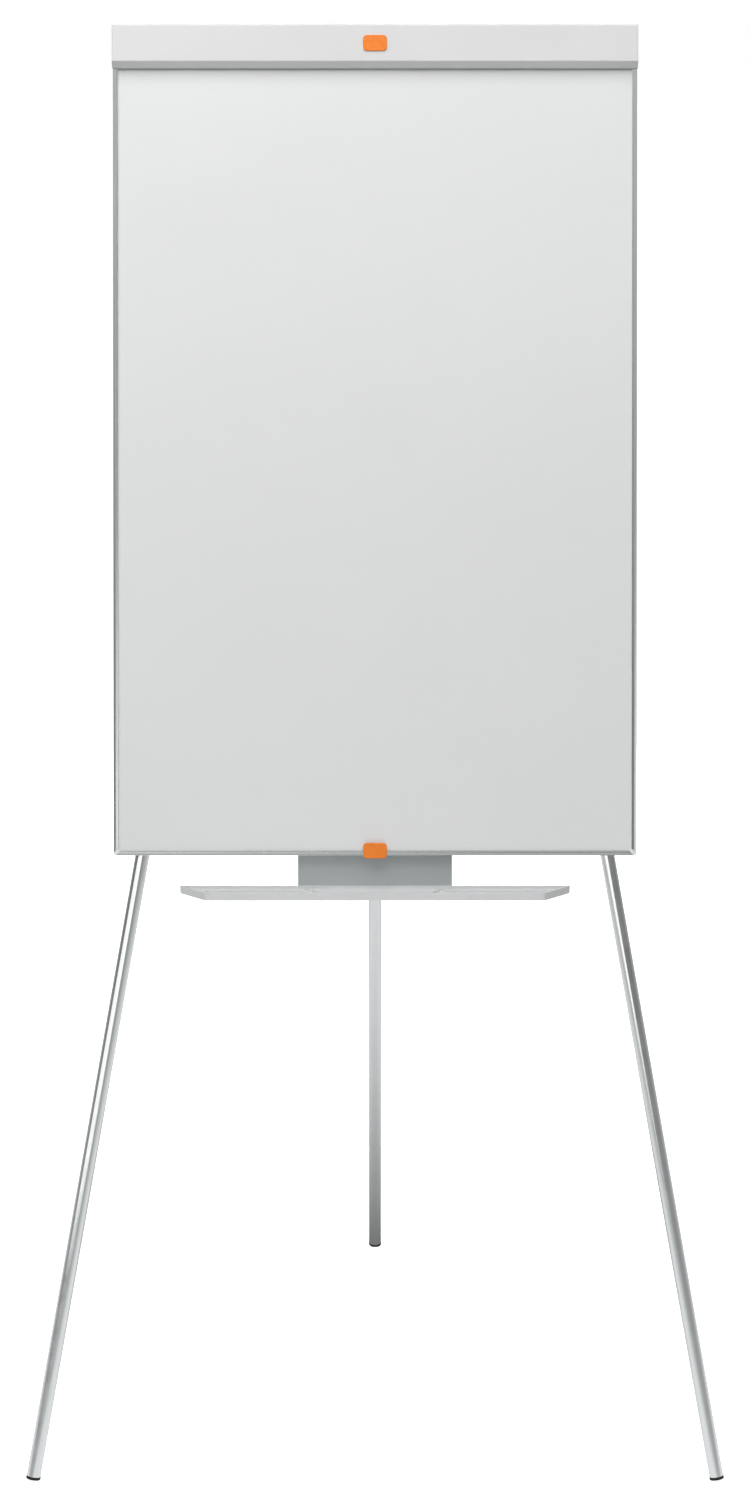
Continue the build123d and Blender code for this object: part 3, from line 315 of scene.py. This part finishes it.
# Brightness of the room as shiny surfaces mirror it, at these heights above the horizon in degrees.
MIRRORED_ROOM = [(-90, 0.55), (-5, 0.55), (3, 0.36), (8, 0.23), (12, 0.23), (18, 0.52), (24, 0.92),
                 (32, 0.88), (50, 0.60), (90, 0.48)]
ROOM_RADIUS = 8.0
SIDE_SHADE = 0.3           # how much darker the room is far to the left
SIDE_SHADE_SPAN = (-0.9, -0.45)     # full shade to no shade, as the sine of the angle to the right
# Brightness of the soft light from all round, at these heights in degrees.
SKY = [(-90, 1.05), (-60, 1.0), (-40, 0.58), (-18, 0.20), (-5, 0.10), (25, 0.08), (50, 0.20), (90, 0.28)]
SKY_TINT = (0.985, 1.0, 1.0)        # of the soft light and of both mirrored surroundings


def fill_ramp(ramp, stops, place):
    """Grey stops at place(stop) along the ramp."""
    elements = ramp.color_ramp.elements
    while len(elements) < len(stops):
        elements.new(1.0)
    for element, (where, level) in zip(elements, stops):
        element.position = place(where)
        element.color = (*(level * channel for channel in SKY_TINT), 1)


def height_place(degrees):
    """The place along a ramp of that height: 0 is straight down and 1 straight up."""
    return (math.sin(math.radians(degrees)) + 1) / 2


def finish_mirrored(piece, look, brightness):
    """Makes the piece glow with that brightness, for shiny surfaces only."""
    look.link(brightness, look.shader.inputs["Emission Color"])
    look.set("Emission Strength", 1.0)
    piece.data.materials.append(look.material)
    piece.visible_camera = piece.visible_diffuse = piece.visible_shadow = piece.visible_transmission = False


def make_mirrored_floor():
    """The floor as shiny surfaces mirror it, darker in the easel's own shade round the rear foot."""
    bpy.ops.mesh.primitive_circle_add(vertices=96, radius=ROOM_RADIUS, fill_type="NGON")
    disc = bpy.context.object
    disc.name = "mirrored_floor"
    low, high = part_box("foot_rear")
    disc.location = ((low.x + high.x) / 2, (low.y + high.y) / 2, low.z - MM)
    look = Look("mirrored_floor", (0, 0, 0), 1.0, specular=0.0)
    length = look.node("ShaderNodeVectorMath", operation="LENGTH")
    look.link(look.place(), length.inputs[0])
    ramp = look.node("ShaderNodeValToRGB")
    fill_ramp(ramp, MIRRORED_FLOOR, lambda distance: distance / ROOM_RADIUS)
    look.link(look.spread(length.outputs["Value"], 0, 1, 0, ROOM_RADIUS), ramp.inputs["Fac"])
    finish_mirrored(disc, look, ramp.outputs["Color"])


def make_mirrored_room():
    """The room as shiny surfaces mirror it: dark at eye level, bright above, darker to the left."""
    bpy.ops.mesh.primitive_uv_sphere_add(segments=64, ring_count=32, radius=2 * ROOM_RADIUS)
    dome = bpy.context.object
    dome.name = "mirrored_room"
    dome.location = (0, 0, cad_high.z / 2)
    look = Look("mirrored_room", (0, 0, 0), 1.0, specular=0.0)
    away = look.node("ShaderNodeVectorMath", operation="NORMALIZE")
    look.link(look.place(), away.inputs[0])
    split = look.node("ShaderNodeSeparateXYZ")
    look.link(away.outputs["Vector"], split.inputs[0])
    ramp = look.node("ShaderNodeValToRGB")
    fill_ramp(ramp, MIRRORED_ROOM, height_place)
    look.link(look.spread(split.outputs["Z"], 0, 1, -1, 1), ramp.inputs["Fac"])
    level = look.node("ShaderNodeVectorMath", operation="SCALE")
    look.link(ramp.outputs["Color"], level.inputs[0])
    shaded = look.spread(split.outputs["X"], 1 - SIDE_SHADE, 1, *SIDE_SHADE_SPAN)
    look.link(shaded, level.inputs["Scale"])
    finish_mirrored(dome, look, level.outputs["Vector"])


make_floor()
make_mirrored_floor()
make_mirrored_room()


# ---- light --------------------------------------------------------------------------------
def make_world():
    """Soft light from all round, most of it off the pale floor; plain white to the camera."""
    world = bpy.data.worlds.new("studio")
    bpy.context.scene.world = world
    world.use_nodes = True
    world.cycles_visibility.glossy = False
    tree = world.node_tree
    tree.nodes.clear()
    node = tree.nodes.new
    split = node("ShaderNodeSeparateXYZ")
    tree.links.new(node("ShaderNodeTexCoord").outputs["Generated"], split.inputs[0])
    rise = node("ShaderNodeMapRange")
    rise.inputs["From Min"].default_value = -1
    tree.links.new(split.outputs["Z"], rise.inputs["Value"])
    ramp = node("ShaderNodeValToRGB")
    tree.links.new(rise.outputs["Result"], ramp.inputs["Fac"])
    fill_ramp(ramp, SKY, height_place)
    surroundings = node("ShaderNodeBackground")
    tree.links.new(ramp.outputs["Color"], surroundings.inputs["Color"])
    seen = node("ShaderNodeBackground")
    seen.inputs["Color"].default_value = (1, 1, 1, 1)
    both = node("ShaderNodeMixShader")
    tree.links.new(node("ShaderNodeLightPath").outputs["Is Camera Ray"], both.inputs[0])
    tree.links.new(surroundings.outputs[0], both.inputs[1])
    tree.links.new(seen.outputs[0], both.inputs[2])
    tree.links.new(both.outputs[0], node("ShaderNodeOutputWorld").inputs["Surface"])


def make_softbox(name, target, azimuth, elevation, distance, size, power, seen_in):
    """A soft light that faces the target from that azimuth (0 is the front) and elevation.

    With seen_in "matt" it gives diffuse light only, and with "shiny" it shows in reflections only.
    """
    turn, lift = math.radians(azimuth), math.radians(elevation)
    away = Vector((math.sin(turn) * math.cos(lift), -math.cos(turn) * math.cos(lift), math.sin(lift)))
    lamp = bpy.data.lights.new(name, "AREA")
    lamp.shape = "RECTANGLE"
    lamp.size, lamp.size_y = size
    lamp.energy = power
    holder = bpy.data.objects.new(name, lamp)
    bpy.context.scene.collection.objects.link(holder)
    holder.location = target + away * distance
    holder.rotation_euler = away.to_track_quat("Z", "Y").to_euler()
    holder.visible_camera = False
    holder.visible_glossy = seen_in == "shiny"
    holder.visible_diffuse = seen_in == "matt"


make_world()
board_low, board_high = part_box("whiteboard_sheet")
board_middle = (board_low + board_high) / 2
tray_low, tray_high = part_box("pen_tray")
tray_middle = (tray_low + tray_high) / 2
legs_middle = Vector((0, board_low.y, board_low.z * 0.8))      # a little under the board
# Azimuth and elevation in degrees, then distance and (width, height) in metres, and power in watts.
make_softbox("key", board_middle, 0, 62, 4.6, (5.2, 3.4), 214, "matt")
make_softbox("left_fill", board_middle, -60, 45, 3.0, (1.6, 1.6), 21, "matt")
make_softbox("left_front", legs_middle, -35, 10, 3.2, (4.2, 1.2), 18, "shiny")
make_softbox("floor_bounce", tray_middle, 0, -25, 1.3, (1.6, 0.5), 3, "matt")
make_softbox("back_fill", board_middle, 155, 0, 4.0, (3.0, 2.2), 63, "matt")

# ---- camera -------------------------------------------------------------------------------
CAMERA_AWAY = 4.389        # in front of the middle of the footprint
CAMERA_HEIGHT = 1.949
CAMERA_PITCH = 13.249      # degrees below level
LENS = 76.51               # millimetres, as the sensor's width
SENSOR = 36.0


def make_camera():
    """The viewpoint of the photo, level from side to side and a little above the easel."""
    lens = bpy.data.cameras.new("camera")
    lens.lens = LENS
    lens.sensor_width = SENSOR
    camera = bpy.data.objects.new("camera", lens)
    bpy.context.scene.collection.objects.link(camera)
    camera.location = (0, -CAMERA_AWAY, CAMERA_HEIGHT)
    camera.rotation_euler = (math.radians(90 - CAMERA_PITCH), 0, 0)
    bpy.context.scene.camera = camera


make_camera()
bpy.context.scene.view_settings.view_transform = "Standard"
